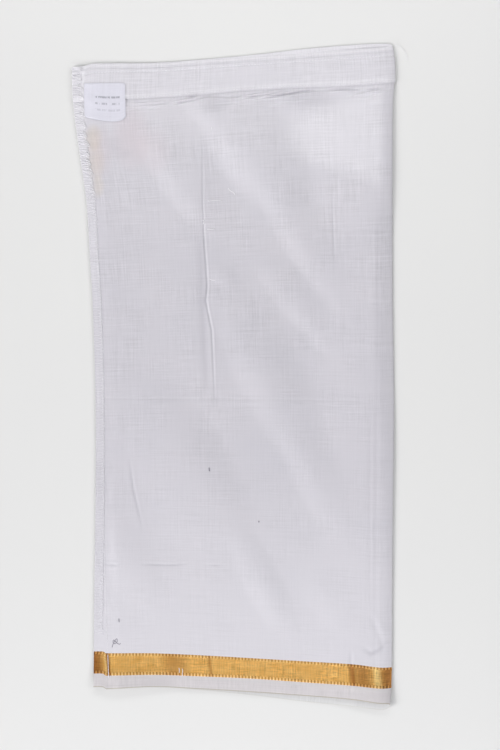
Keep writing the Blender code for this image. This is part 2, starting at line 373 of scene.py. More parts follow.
def roll_profile(share, y):
    """How the front layer falls across the roll, from 1 to 0; it is held flat for longer at its ends."""
    upper, lower = near_ends(y)
    held_flat = 1 - share ** (ROLL_POWER + POWER_AT_WAIST * upper + POWER_AT_HEM * lower)
    rounded = np.sqrt(np.clip(1 - share ** 2, 0, 1))
    return (1 - ROUND_SHARE) * held_flat + ROUND_SHARE * rounded


def near_casing(x, y):
    """1 at the casing's seam and above it, down to 0 a ramp below it."""
    return 1 - ease(below_casing(x, y) / CASING_RAMP)


def over_casing(x, y):
    """How much the casing's outer ply adds just above its seam."""
    return CASING_PLY * ease(-below_casing(x, y) / 1.5)


# ---------------------------------------------------------------- laying cloth round the tube

# Zones round the tube, from the front raw edge over the fold to the back raw edge, and the place in the turn
# where each starts: 0 to 1 is the front half of the roll and 1 to 2 its under half.
ZONES = {"front_strip": 0.0, "front_flat": 0.0, "front_roll": 0.0,
         "back_roll": 1.0, "back_flat": 2.0, "back_strip": 3.0}

# Where the under layer's extra length comes in round the fold: sooner at the garment's ends than within it.
ENDS_SHIFT = (0.45, 1.8)
INNER_SHIFT = (1.0, 2.2)
Line = namedtuple("Line", "under sign shift")
LINES = {
    "hem": Line("hem_under", -1, ENDS_SHIFT),
    "border_foot": Line("hem_under", -1, INNER_SHIFT),
    "border_head": Line("hem_under", -1, INNER_SHIFT),
    "casing_seam": Line("waist_under", 1, INNER_SHIFT),
    "waist": Line("waist_under", 1, ENDS_SHIFT),
}


def spaced(length, step, fine_step, fine):
    """Shares from 0 to 1 that are a step apart, or a fine step within the fine stretches of the length."""
    places = [0.0]
    while places[-1] < length - 0.6 * step:
        within = any(start <= places[-1] < end for start, end in fine)
        places.append(places[-1] + (fine_step if within else step))
    return np.array(places) / places[-1]


def columns(**zone_shares):
    """Column places round the tube: each zone has a count, or its own shares from its start to its end."""
    zones, shares = [], []
    for zone, wanted in zone_shares.items():
        part = np.linspace(0, 1, wanted + 1) if isinstance(wanted, int) else wanted
        part = part[1:] if zones else part
        zones += [zone] * len(part)
        shares += list(part)
    return np.array(zones), np.array(shares)


def place_across(zones, shares, y):
    """The x of each column at heights y."""
    raw, seam, fold = (read(ALONG, "y", y, name) for name in ("raw_edge", "seam", "fold"))
    angle = shares * pi / 2
    spots = {
        "front_strip": raw + (seam - raw) * shares,
        "front_flat": seam + (fold - ROLL_FALL - seam) * shares,
        "front_roll": fold - ROLL_FALL + ROLL_FALL * np.sin(angle),
        "back_roll": fold - UNDER_FALL + UNDER_FALL * np.cos(angle),
        "back_flat": fold - UNDER_FALL + (seam - fold + UNDER_FALL) * shares,
        "back_strip": seam + (raw - seam) * shares,
    }
    return np.select([zones == name for name in ZONES], [spots[name] for name in ZONES])


def line_y(name, x, turned):
    """Height up the garment of a line across it, lower or higher on the under layer."""
    line = LINES[name]
    start, end = line.shift
    share = ease((turned - start) / (end - start))
    return read(ACROSS, "x", x, name) + line.sign * share * read(ACROSS, "x", x, line.under)


def lay(foot, head, rows, round_tube):
    """Points of the cloth between two lines, a row for each share of the way up, and the way out at each."""
    zones, shares = round_tube
    rows = np.asarray(rows, float)[:, None]
    turned = np.array([ZONES[zone] for zone in zones]) + np.where(zones == "front_flat", 0, shares)
    turned = np.where(zones == "front_strip", 0, turned)
    y = np.full((len(rows), len(zones)), (read(ACROSS, "x", 0, foot) + read(ACROSS, "x", 0, head)) / 2)
    for _ in range(5):
        x = place_across(zones, shares, y)
        low, high = line_y(foot, x, turned), line_y(head, x, turned)
        y = low + (high - low) * rows
    angle = np.broadcast_to(shares * pi / 2, y.shape)
    start = read(ALONG, "y", y, "fold") - ROLL_FALL
    crown = front_rise(start, y)
    nose = crown * (NOSE + (NOSE_AT_ENDS - NOSE) * sum(near_ends(y)))
    strip = np.broadcast_to(ease(shares), y.shape)
    inside = x - seam_line(y)
    casing = near_casing(x, y) * CASING_PLY
    relief = creases(x, y)[0] + puckers(x, y)
    back_relief = 0.5 * folds(-x, y) + 0.6 * np.clip(creases(-x, y)[0], 0, None)
    back = BACK_REST + back_relief * ease(inside / 30)
    by_seam = 1 - ease(inside / STRIP_STEP)
    heights = {
        "front_strip": STRIP_FRONT + casing / 2 - 0.25 * (1 - strip),
        "front_flat": front_rise(x, y) - relief,
        "front_roll": nose + (crown - nose) * roll_profile(np.sin(angle), y) - relief * np.cos(angle),
        "back_roll": nose - (nose - BACK_REST - casing) * np.sin(angle),
        "back_flat": (back + casing) * (1 - by_seam) + (STRIP_BACK + casing / 2) * by_seam,
        "back_strip": STRIP_BACK + casing / 2 + 0.2 * strip,
    }
    z = np.select([zones == name for name in ZONES], [heights[name] for name in ZONES]) + curl(x, y)
    out_x = np.select([zones == "front_roll", zones == "back_roll"],
                      [np.sin(angle) / ROLL_FALL, np.cos(angle) / UNDER_FALL], 0.0)
    under = np.isin(zones, ("back_flat", "back_strip"))
    out_z = np.select([zones == "front_roll", zones == "back_roll", under],
                      [np.cos(angle) / (crown - nose), -np.sin(angle) / nose, -1.0], 1.0)
    size = np.hypot(out_x, out_z)
    points = np.stack([x, y, z], -1)
    return points, np.stack([out_x / size, np.zeros_like(x), out_z / size], -1)


def run_length(points):
    """Distance along a run of points, from 0 at the first one."""
    return np.concatenate([[0], np.cumsum(np.linalg.norm(np.diff(points, axis=0), axis=1))])


def cloth_sizes(points):
    """Distance round the tube for each column and up the cloth for each row, both along the middle."""
    return run_length(points[len(points) // 2]), run_length(points[:, points.shape[1] // 3])


def in_scene(name, data):
    """A new thing in the scene: a mesh, a lamp or the camera."""
    thing = bpy.data.objects.new(name, data)
    bpy.context.scene.collection.objects.link(thing)
    return thing


def sheet_mesh(name, points, material, up_from=0.0):
    """A smooth sheet of cloth from a grid of points in millimetres, with a map of its flat cut in metres."""
    rows, across = points.shape[:2]
    mesh = bpy.data.meshes.new(name)
    index = np.arange(rows * across).reshape(rows, across)
    quads = np.stack([index[:-1, :-1], index[:-1, 1:], index[1:, 1:], index[1:, :-1]], -1).reshape(-1, 4)
    mesh.from_pydata((points.reshape(-1, 3) * MM).tolist(), [], quads.tolist())
    u, v = cloth_sizes(points)
    flat = np.stack(np.meshgrid(u, v + up_from), -1).reshape(-1, 2) * MM
    cut = mesh.uv_layers.new(name="flat_cut")
    cut.data.foreach_set("uv", flat[quads.reshape(-1)].astype(np.float32).reshape(-1))
    mesh.shade_smooth()
    mesh.materials.append(material)
    return in_scene(name, mesh)


def store(sheet, name, colour):
    """Store up to three values for each point of a sheet, as one colour attribute."""
    values = np.ones((len(colour), 4), np.float32)
    values[:, :3] = colour
    sheet.data.attributes.new(name, "FLOAT_COLOR", "POINT").data.foreach_set("color", values.reshape(-1))


def places_of(sheet):
    """The points of a sheet, in millimetres."""
    flat = np.empty(len(sheet.data.vertices) * 3)
    sheet.data.vertices.foreach_get("co", flat)
    return flat.reshape(-1, 3) / MM


# The front layer lies higher than this and the back layer lower.
SPLIT_HEIGHT = 1.2


def mark_cloth(sheet):
    """Store the stains, the dirt and the painted shade, also in the creases and under the casing's seam: red
    for rust, green for rose, blue for dirt and painted shade.
    """
    points = places_of(sheet)
    x, y, front = points[:, 0], points[:, 1], points[:, 2] > SPLIT_HEIGHT
    colour = np.zeros((len(points), 3))
    for mark in MARKS:
        off = ((x - mark.x) / mark.half_x) ** 2 + ((y - mark.y) / mark.half_y) ** 2
        colour[:, ("rust", "rose", "soil").index(mark.kind)] += mark.strength * np.clip(1 - off, 0, 1)
    # Painted shade: a dark line just below the casing's seam, where its edge shades the cloth.
    seam_shade = 0.55 * bell(below_casing(x, y) - 0.9, 0.7)
    colour[:, 2] += creases(np.where(front, x, -x), y)[1] + seam_shade
    colour *= np.where(front, 1.0, 0.5)[:, None]
    store(sheet, "marks", colour)


def mark_ply_and_painted_light(sheet, whiteness):
    """Store how much whiter each point is for the plies that lie close under it, as at the seam allowance,
    which is whiter up the garment as its overlock fills out, and for the painted light that the given
    whiteness adds, as on the body."""
    points = places_of(sheet)
    x, y = points[:, 0], points[:, 1]
    overlocked = 0.04 + 0.16 * rise(y, -110, -40) + 0.25 * rise(y, 40, 100) + 0.25 * rise(y, 130, 210)
    allowance = overlocked * (1 - ease((x - seam_line(y) + 0.5) / 2.5))
    colour = np.zeros((len(points), 3))
    # The plies value also takes the body's painted light.
    colour[:, 0] = np.clip(allowance + whiteness(x, y), 0, 1)
    store(sheet, "plies", colour)


def mark_painted_gilt_light(sheet):
    """Store the gilt's painted shade and highlights, in bands that lean a little: red darker, green brighter.
    """
    points = places_of(sheet)
    x = points[:, 0] + (points[:, 1] + 228) * 0.1
    colour = np.zeros((len(points), 3))
    for patch in GILT_PAINTED_LIGHT:
        near = np.clip(1 - ((x - patch.x) / patch.half_width) ** 2, 0, 1)
        # Red is painted shade, green a painted highlight.
        colour[:, 0 if patch.strength > 0 else 1] += abs(patch.strength) * near
    store(sheet, "painted_gilt_light", np.clip(colour, 0, 1))


# ---------------------------------------------------------------- threads


def thread_rings(points, radius, sides):
    """Rings of a round thread along a run of points; the radius is one for all or one for each."""
    points = np.asarray(points, float)
    radii = np.broadcast_to(radius, len(points))
    way = np.gradient(points, axis=0)
    way /= np.linalg.norm(way, axis=1)[:, None]
    side = np.cross(way[0], (0.12, 0.31, 0.94))
    rings = []
    turns = np.arange(sides) * 2 * pi / sides
    for point, forward, thick in zip(points, way, radii):
        side = side - forward * side.dot(forward)
        side /= np.linalg.norm(side)
        up = np.cross(forward, side)
        rings.append(point + thick * (np.cos(turns)[:, None] * side + np.sin(turns)[:, None] * up))
    return rings


def thread_mesh(name, runs, material, sides=6):
    """One mesh of many round threads; each run is (points, radius) in millimetres, with closed ends."""
    points, faces = [], []
    for run, radius in runs:
        rings = thread_rings(run, radius, sides)
        base = len(points)
        for ring in rings:
            points.extend(ring)
        for j in range(len(rings) - 1):
            low = base + j * sides
            for i in range(sides):
                k = (i + 1) % sides
                faces.append((low + i, low + k, low + sides + k, low + sides + i))
        faces.append(tuple(base + i for i in reversed(range(sides))))
        last = base + (len(rings) - 1) * sides
        faces.append(tuple(last + i for i in range(sides)))
    mesh = bpy.data.meshes.new(name)
    mesh.from_pydata((np.array(points) * MM).tolist(), [], faces)
    mesh.shade_smooth()
    mesh.materials.append(material)
    return in_scene(name, mesh)


def stitch_runs(points, out, pitch, share, radius, lift):
    """Stitches along a line on the cloth: each an arch that goes into the cloth at both ends."""
    lengths = run_length(points)
    runs = []
    arch = np.array([-0.9, 0.35, 1.0, 1.0, 0.35, -0.9])
    for start in np.arange(0.4, lengths[-1] - pitch, pitch):
        at = start + np.array([0, 0.12, 0.35, 0.65, 0.88, 1.0]) * pitch * share
        spots = np.stack([np.interp(at, lengths, points[:, i]) for i in range(3)], -1)
        ways = np.stack([np.interp(at, lengths, out[:, i]) for i in range(3)], -1)
        runs.append((spots + ways * (lift + radius * arch)[:, None], radius))
    return runs


# ---------------------------------------------------------------- materials


def linear(colour):
    """Linear colour of an sRGB hex value such as #D2D0D7."""
    parts = [int(colour[i:i + 2], 16) / 255 for i in (1, 3, 5)]
    return tuple(c / 12.92 if c <= 0.04045 else ((c + 0.055) / 1.055) ** 2.4 for c in parts) + (1.0,)


def add_node(tree, kind, inputs=(), output=0, **settings):
    """One node with its settings; each input is a value, an sRGB hex colour or the socket that feeds it.
    Gives the output socket that is wanted."""
    node = tree.nodes.new("ShaderNode" + kind)
    for name, value in settings.items():
        setattr(node, name, value)
    for name, value in inputs.items() if isinstance(inputs, dict) else enumerate(inputs):
        if isinstance(value, bpy.types.NodeSocket):
            tree.links.new(value, node.inputs[name])
        else:
            node.inputs[name].default_value = linear(value) if isinstance(value, str) else value
    return node.outputs[output]


def new_material(name, inputs):
    """Material whose shader's own sockets hold its constant values."""
    material = bpy.data.materials.new(name)
    material.use_nodes = True
    shader = material.node_tree.nodes["Principled BSDF"]
    for socket, value in inputs.items():
        shader.inputs[socket].default_value = value
    return material, material.node_tree, shader


def cut_in_mm(tree):
    """Place on the flat cut, in millimetres."""
    cut = add_node(tree, "UVMap", uv_map="flat_cut")
    return add_node(tree, "Mapping", {"Vector": cut, "Scale": (1 / MM, 1 / MM, 1.0)})


def object_noise(tree, scale):
    """Fine noise through a whole piece."""
    place = add_node(tree, "TexCoord", output="Object")
    return add_node(tree, "TexNoise", {"Vector": place, "Scale": scale, "Detail": 2.0})


def noise_field(tree, place, size_x, size_y, seed, detail=2.0):
    """Soft noise whose patches are about the given size in millimetres."""
    spot = add_node(tree, "Mapping", {"Vector": place, "Scale": (1 / size_x, 1 / size_y, 1.0),
                                      "Location": (seed, seed * 1.7, 0.0)})
    return add_node(tree, "TexNoise", {"Vector": spot, "Scale": 1.0, "Detail": detail, "Roughness": 0.6},
                    noise_dimensions="2D")


def thin_lines(tree, place, size_x, size_y, seed):
    """Fine broken lines that follow a noise field: 1 on the line, 0 away from it."""
    noise = noise_field(tree, place, size_x, size_y, seed, 1.0)
    off = add_node(tree, "Math", (noise, 0.5), operation="SUBTRACT")
    off = add_node(tree, "Math", (off,), operation="ABSOLUTE")
    reach = {"Value": off, "From Min": 0.0, "From Max": 0.045, "To Min": 1.0, "To Max": 0.0}
    return add_node(tree, "MapRange", reach, interpolation_type="SMOOTHSTEP")


# How strongly the thick yarns and the gaps show beside the plain ones, how large the bolder and fainter
# patches of a weave are in millimetres, and how faint and bold they get.
THICK_YARNS = 0.75
YARN_GAPS = 0.16
WEAVE_PATCH = (34.0, 30.0)
WEAVE_FAINT = 0.4
WEAVE_BOLD = 1.5


def woven_height(tree, place, weft, warp, seed):
    """Height of a plain weave: uneven wefts and warps with fine lines between them, stronger in patches.
    Each of weft and warp is (slub length, spacing) in millimetres."""
    weft_long, weft_apart = weft
    warp_long, warp_apart = warp
    yarns = (
        (noise_field(tree, place, weft_long, weft_apart, seed), 1.0),
        (noise_field(tree, place, warp_apart, warp_long, seed + 3.1), 1.0),
        (noise_field(tree, place, weft_long * 6, weft_apart * 1.3, seed + 11.7), THICK_YARNS),
        (noise_field(tree, place, warp_apart * 1.4, warp_long * 6, seed + 13.9), THICK_YARNS),
        (thin_lines(tree, place, weft_long * 1.2, weft_apart * 1.5, seed + 7.3), -YARN_GAPS),
        (thin_lines(tree, place, warp_apart * 1.5, warp_long * 1.2, seed + 9.9), -YARN_GAPS),
    )
    height = -1.0 - THICK_YARNS
    for field, weight in yarns:
        height = add_node(tree, "Math", (field, weight, height), operation="MULTIPLY_ADD")
    patches = noise_field(tree, place, *WEAVE_PATCH, seed + 5.7)
    strength = add_node(tree, "MapRange", {"Value": patches, "From Min": 0.35, "From Max": 0.65,
                                           "To Min": WEAVE_FAINT, "To Max": WEAVE_BOLD})
    return add_node(tree, "Math", (height, strength), operation="MULTIPLY")


def ripple(tree, place, pitch_u, pitch_v):
    """Regular wave over the cut from -1 to 1. Pitches are in millimetres, and 0 is no change that way."""
    turns = (2 * pi / pitch_u if pitch_u else 0.0, 2 * pi / pitch_v if pitch_v else 0.0, 0.0)
    way = add_node(tree, "VectorMath", (place, turns), "Value", operation="DOT_PRODUCT")
    return add_node(tree, "Math", (way,), operation="SINE")


def tinted(tree, colour, *tints):
    """A colour with tints laid over it in turn, each a share and a colour."""
    for share, tint in tints:
        colour = add_node(tree, "Mix", {0: share, 6: colour, 7: tint}, 2, data_type="RGBA")
    return colour


def stored(tree, name):
    """The three values of a stored colour attribute."""
    colour = add_node(tree, "Attribute", output="Color", attribute_name=name)
    return add_node(tree, "SeparateColor", (colour,)).node.outputs[:3]


def band(tree, place, start, end, axis=1):
    """1 between two heights up the cut in millimetres, or two places along it for axis 0, and 0 elsewhere."""
    at = add_node(tree, "SeparateXYZ", (place,), axis)
    after = add_node(tree, "Math", (at, start), operation="GREATER_THAN")
    before = add_node(tree, "Math", (at, end), operation="LESS_THAN")
    return add_node(tree, "Math", (after, before), operation="MULTIPLY")


def show_weave(tree, shader, colour, height, gain, depth_mm, strength):
    """Make the colour lighter where the weave stands up and darker between the yarns, and give it relief."""
    gained = add_node(tree, "Math", (height, gain, 1.0), operation="MULTIPLY_ADD")
    shaded = add_node(tree, "VectorMath", {0: colour, "Scale": gained}, operation="SCALE")
    relief = add_node(tree, "Bump", {"Height": height, "Strength": strength, "Distance": depth_mm * MM})
    tree.links.new(shaded, shader.inputs["Base Color"])
    tree.links.new(relief, shader.inputs["Normal"])


def voile_woven():
    """Silk-cotton voile, plain woven from fine uneven yarns: white with a soft silky lustre, a faint lilac
    cast from the whitener, whiter where more plies lie together and where light is painted onto the body,
    darker with dirt and with painted shade in its creases and under the casing's seam, and thick and thin
    yarns that show as broken lines both ways, bolder towards the waist. Yarns are 0.35 mm apart, too fine
    to show, so the slubs are drawn 1.1 mm apart."""
    material, tree, shader = new_material("silk_cotton_voile_woven", {
        "Roughness": 0.44, "IOR": 1.46, "Specular IOR Level": 1.0,
        "Sheen Weight": 0.05, "Sheen Roughness": 0.35, "Sheen Tint": linear("#F4F2FA")})
    place = cut_in_mm(tree)
    height = woven_height(tree, place, (22.0, 1.1), (20.0, 1.0), 2.0)
    up = add_node(tree, "SeparateXYZ", (place,), 1)
    reach = {"Value": up, "From Min": 60.0, "From Max": 330.0, "To Min": 0.6, "To Max": 1.25}
    bolder = add_node(tree, "MapRange", reach)
    height = add_node(tree, "Math", (height, bolder), operation="MULTIPLY")
    # Blue is dirt and painted shade, which darken the cloth towards #A09EA8.
    rust, rose, soil = stored(tree, "marks")
    soil = add_node(tree, "Math", (soil, 0.35), operation="MULTIPLY")
    # The plies value is whiter for close plies and, on the body, for painted light.
    colour = tinted(tree, "#CECCD4", (noise_field(tree, place, 60.0, 45.0, 9.0), "#D4D1D8"),
                    (stored(tree, "plies")[0], "#E6E4EA"), (rust, "#CFC0A8"), (rose, "#D3C3C9"),
                    (soil, "#A09EA8"))
    show_weave(tree, shader, colour, height, 0.12, 0.10, 0.45)
    return material


def selvedge_woven():
    """Selvedge of the same voile, woven open: thinner, so it shows warmer and greyer than the body, with
    fine lines along its length and a tan raw end, and nearly white where a single ply lies on the table.
    Real lines are 0.5 mm apart and are drawn 1.2 mm apart to show."""
    material, tree, shader = new_material("open_selvedge_woven", {
        "Roughness": 0.6, "IOR": 1.46, "Specular IOR Level": 0.4, "Sheen Weight": 0.08})
    place = cut_in_mm(tree)
    height = woven_height(tree, place, (60.0, 1.2), (9.0, 1.3), 14.0)
    single = stored(tree, "single")[0]
    raw_end = tinted(tree, "#B9B2A8", (single, "#DBDAD8"))
    colour = tinted(tree, "#CDC8CB", (noise_field(tree, place, 30.0, 8.0, 4.0), "#D5D1D3"),
                    (single, "#DDDDDE"), (band(tree, place, -1.0, 0.7), raw_end))
    show_weave(tree, shader, colour, height, 0.14, 0.12, 0.5)
    return material


def zari_woven():
    """Zari, a gilt metal strip wound on silk and woven as a satin band with a fine lozenge figure and a row
    of long picks along both edges: soft gold with a metal's bright and dark turns, with painted shade
    browning it and painted highlights brightening it in bands across. The strip is 0.3 mm wide, so its ribs
    are drawn
    1.3 mm apart to show, and its lozenges 2.4 mm apart."""
    material, tree, shader = new_material("gilt_zari_woven", {
        "Metallic": 0.4, "Roughness": 0.4, "Specular IOR Level": 0.5})
    place = cut_in_mm(tree)
    height = woven_height(tree, place, (7.0, 0.9), (8.0, 0.9), 21.0)
    lozenge = [ripple(tree, place, LOZENGE_PITCH, way * LOZENGE_PITCH) for way in (1, -1)]
    figure = add_node(tree, "Math", lozenge, operation="MULTIPLY")
    patches = noise_field(tree, place, 24.0, 40.0, 33.0)
    figure = add_node(tree, "Math", (figure, patches), operation="MULTIPLY")
    ribs = ripple(tree, place, RIB_PITCH, 0)
    figure = add_node(tree, "Math", (ribs, 0.35, figure), operation="MULTIPLY_ADD")
    weave = add_node(tree, "Math", (figure, 0.35, height), operation="MULTIPLY_ADD")
    head = BORDER_FOOT + BORDER_TALL
    edges = (band(tree, place, BORDER_FOOT, BORDER_FOOT + PICK_LENGTH),
             band(tree, place, head - PICK_LENGTH - 0.4, head + 2))
    edge = add_node(tree, "Math", edges, operation="MAXIMUM")
    edge = add_node(tree, "Math", (edge, 0.72), operation="MULTIPLY")
    between = add_node(tree, "Math", (ripple(tree, place, PICK_PITCH, 0), 0.05), operation="GREATER_THAN")
    # Painted shade (dark) and painted highlights (bright) on the gilt.
    dark, bright, _ = stored(tree, "painted_gilt_light")
    picks = tinted(tree, tinted(tree, "#FFD692", (dark, "#D99A4E")),
                   (between, tinted(tree, "#BC843A", (dark, "#74441E"))))
    colour = tinted(tree, "#DFA34C", (noise_field(tree, place, 11.0, 5.0, 6.0), "#FBCB7B"),
                    (bright, "#FBD98F"), (dark, "#985A1C"), (edge, picks))
    show_weave(tree, shader, colour, weave, 0.52, 0.12, 0.6)
    return material


def thread_spun(name, colour):
    """Spun polyester sewing thread: matt and a little brighter than the cloth, so stitches show as lines."""
    material, tree, shader = new_material(name, {"Roughness": 0.6, "Specular IOR Level": 0.3})
    bright_fibre = [1.08 * part for part in linear(colour)]
    fibres = tinted(tree, colour, (object_noise(tree, 900.0), bright_fibre))
    tree.links.new(fibres, shader.inputs["Base Color"])
    return material


def satin_ribbon():
    """Polyester satin ribbon of a sewn-in label: smooth and cooler than the cloth, with a soft gloss across
    its fine ribs, and three plain rows of worn grey dashes. Ribs are 0.2 mm apart, drawn 0.9 mm apart."""
    material, tree, shader = new_material("satin_ribbon_woven", {
        "Roughness": 0.42, "Specular IOR Level": 0.5, "Sheen Weight": 0.1})
    place = cut_in_mm(tree)
    height = woven_height(tree, place, (40.0, 0.9), (30.0, 2.0), 31.0)
    ink = 0.0
    for number, strength in enumerate(DASH_STRENGTHS):
        low = DASH_ROW + number * DASH_STEP
        ink = add_node(tree, "Math", (band(tree, place, low, low + DASH_TALL), strength, ink),
                       operation="MULTIPLY_ADD")
    dashes = noise_field(tree, place, 1.3, 9.0, 3.0, 0.0)
    dashes = add_node(tree, "Math", (dashes, 0.42), operation="GREATER_THAN")
    for part in (band(tree, place, *DASH_REACH, axis=0), dashes):
        ink = add_node(tree, "Math", (ink, part), operation="MULTIPLY")
    show_weave(tree, shader, tinted(tree, "#DEDDE8", (ink, "#83828E")), height, 0.06, 0.05, 0.4)
    return material


def paper_sweep():
    """Matt white paper under the garment: plain and pale, so the cloth's edges and soft shadows show."""
    material, tree, shader = new_material("white_paper_sweep", {"Roughness": 0.9, "Specular IOR Level": 0.1})
    tree.links.new(tinted(tree, "#E5E5E5", (object_noise(tree, 6.0), "#E8E8E7")), shader.inputs["Base Color"])
    return material


# ---------------------------------------------------------------- pieces


# Length of the front's flat stretch across and of the body up, for spacing the mesh.
FLAT_LENGTH = 219.6
BODY_LENGTH = 450.0


def body_painted_light(x, y):
    """The body is painted lighter towards both ends, and with a painted highlight by the fold's upper end."""
    patch = rise(x, 30, 58) * (1 - rise(x, 114, 123))
    patch *= ease((y - 168 + 0.33 * (x - 45)) / 20) * (1 - ease((y - 200 - 0.35 * (x - 60)) / 20))
    # Painted light: a rise towards both ends, and a painted highlight in the patch by the fold.
    return 0.22 * rise(y, 90, 200) + 0.38 * rise(y, -60, -210) + 0.5 * patch


def build_body(material):
    """The body: one sheet from raw edge to raw edge round the fold, finer at creases and by the casing."""
    flat = spaced(FLAT_LENGTH, 1.06, 0.5, ((83, 93), (186, 189)))
    round_tube = columns(front_strip=7, front_flat=flat, front_roll=14, back_roll=8,
                         back_flat=30, back_strip=2)
    rows = spaced(BODY_LENGTH, 1.75, 0.6, ((70, 76), (203, 209), (422, 450)))
    sheet = sheet_mesh("body_cloth", lay("border_head", "casing_seam", rows, round_tube)[0], material, 28.0)
    mark_cloth(sheet)
    mark_ply_and_painted_light(sheet, body_painted_light)
    return sheet


def build_selvedge(material):
    """The sheer edge below the border, marked where the under layer shows as a single ply."""
    round_tube = columns(front_strip=6, front_flat=200, front_roll=12, back_roll=8,
                         back_flat=80, back_strip=3)
    points, _ = lay("hem", "border_foot", np.linspace(0, 1, 17), round_tube)
    waves = 0.16 * np.sin(points[..., 0] / 3.1 + 1.7 * np.sin(points[..., 0] / 13))
    points[..., 2] += waves * np.linspace(1, 0, 17)[:, None] * (points[..., 2] > SPLIT_HEIGHT)
    sheet = sheet_mesh("selvedge_cloth", points, material)
    places = places_of(sheet)
    beyond = line_y("hem", places[:, 0], 0.0) - places[:, 1]
    colour = np.zeros((len(places), 3))
    under = np.tile(np.char.startswith(round_tube[0], "back"), len(points))
    colour[:, 0] = ease((beyond + 0.3) / 0.6) * under
    store(sheet, "single", colour)
    return sheet


# Where the border starts up the cut and how tall it is, the long picks along its edges, and the pitches of
# the figure and the ribs between them.
BORDER_FOOT = 10.5
BORDER_TALL = 17.6
PICK_PITCH = 2.64
PICK_LENGTH = 2.3
PICK_HEIGHT = 0.22
LOZENGE_PITCH = 2.4
RIB_PITCH = 1.32


def build_border(material):
    """The zari border: a satin band with a row of raised picks along both edges."""
    round_tube = columns(front_strip=14, front_flat=330, front_roll=24, back_roll=16,
                         back_flat=330, back_strip=14)
    points, out = lay("border_foot", "border_head", np.linspace(0, 1, 25), round_tube)
    across, up = cloth_sizes(points)
    by_edge = np.minimum(up, up[-1] - up)[:, None]
    picks = (np.sin(across * 2 * pi / PICK_PITCH) < 0.05) * (by_edge < PICK_LENGTH) * (by_edge > 0.2)
    points = points + out * (PICK_HEIGHT * picks)[:, :, None]
    sheet = sheet_mesh("zari_border_cloth", points, material, BORDER_FOOT)
    mark_painted_gilt_light(sheet)
    return sheet


# The casing's depth, how far down from its top the topstitch and the groove of its turn run, and how far
# down that top is rounded.
CASING_DEPTH = 28.5
TOPSTITCH_DOWN = 7.0
TURN_DOWN = 3.6
TOP_ROUND = 3.2


def casing_relief(points):
    """Dents and ridges of the casing's outer ply: its rounded top, the grooves of its topstitch and its
    turn, a soft trough between them and its lower seam, a ridge above that, and small upright puckers."""
    x, y = points[..., 0], points[..., 1]
    down = below_waist(x, y)
    rounding = 1 - np.sqrt(np.clip(1 - np.clip(1 - down / TOP_ROUND, 0, 1) ** 2, 0, 1))
    grooves = 0.6 * bell(down - TOPSTITCH_DOWN, 0.8) + 0.5 * bell(down - TURN_DOWN, 0.6)
    trough = 0.45 * bell(down - 16, 4.5) * (0.6 + 0.4 * np.sin(x / 31 + 1.2))
    ridge = 0.42 * bell(-below_casing(x, y) - 1.9, 1.2)
    gather = np.sin(x * 0.72 + 2.4 * np.sin(x / 17) + 0.12 * down)
    upright = 0.07 * gather * (0.5 + 0.5 * np.sin(x / 23 + 2)) * bell(down - 12, 8)
    ruffle = 0.10 * np.sin(x / 5.3 + 2.0 * np.sin(x / 19)) * bell(down, 4)
    return ridge + upright + ruffle - grooves - trough - rounding


def casing_outside(points, out):
    """The casing's outer ply, from its inner one; it is pressed flatter underneath."""
    outer = points + out * CASING_PLY
    relief = casing_relief(outer) * np.where(out[..., 2] < 0, 0.3, 1.0)
    return outer + out * relief[..., None]


def casing_whiteness(x, y):
    """The casing is whiter than the body, most of all along its top fold and its seam."""
    top = 1 - rise(below_waist(x, y), 1.2, 3.2)
    return 0.46 + 0.4 * top + 0.26 * bell(-below_casing(x, y) - 2.2, 1.6)


def build_casing(material):
    """The waist casing: the cloth runs up, folds over at the top and comes down outside to its seam."""
    round_tube = columns(front_strip=8, front_flat=230, front_roll=14, back_roll=9,
                         back_flat=60, back_strip=3)
    points, out = lay("casing_seam", "waist", np.linspace(0, 1, 57), round_tube)
    outer = casing_outside(points, out)
    inner = points[::7].copy()
    inner[-1] += (0, -0.3, 0)
    middle = (outer[-1] + points[-1]) / 2
    over = [inner[-1] * 0.5 + middle * 0.5 + (0, 0.15, 0), middle + (0, 0.1, 0)]
    lip = [outer[0] - (0, 0.35, 0) - out[0] * 0.2, outer[0] - (0, 0.5, 0) - out[0] * 0.5]
    grid = np.concatenate([inner, np.array(over), outer[::-1], np.array(lip)])
    sheet = sheet_mesh("waist_casing_cloth", grid, material, 480.0)
    mark_cloth(sheet)
    mark_ply_and_painted_light(sheet, casing_whiteness)
    return sheet


def strip_point(share, y, front, lift):
    """A point on the seam allowance: its share of the way in from the raw edge, on the front or back ply."""
    raw = read(ALONG, "y", y, "raw_edge")
    x = raw + (seam_line(y) - raw) * share
    casing = near_casing(x, y) * CASING_PLY / 2
    off = over_casing(x, y) + lift
    if front:
        z = STRIP_FRONT + casing - 0.25 * (1 - ease(share)) + off
    else:
        z = STRIP_BACK + casing + 0.2 * (1 - ease(share)) - off
    return np.stack([x, y, z + curl(x, y)], -1)


# The overlock: its pitch up the seam, its reach in from the raw edge, its threads' radii, the points to a
# loop, and how fine the looper is low down, where it is drawn in tight, before it fills out.
OVERLOCK_PITCH = 2.5
OVERLOCK_REACH = 6.6
LOOPER = 0.26
NEEDLE_THREAD = 0.1
LOOP_SIDES = 12
TIGHT_LOOPER = 0.38


def allowance_width(y):
    """Width of the seam allowance."""
    return seam_line(y) - read(ALONG, "y", y, "raw_edge")


def ply_out(front, ups):
    """The way out of the front or back ply of the allowance, for each place up it."""
    return np.tile((0.0, 0.0, 1.0 if front else -1.0), (len(ups), 1))


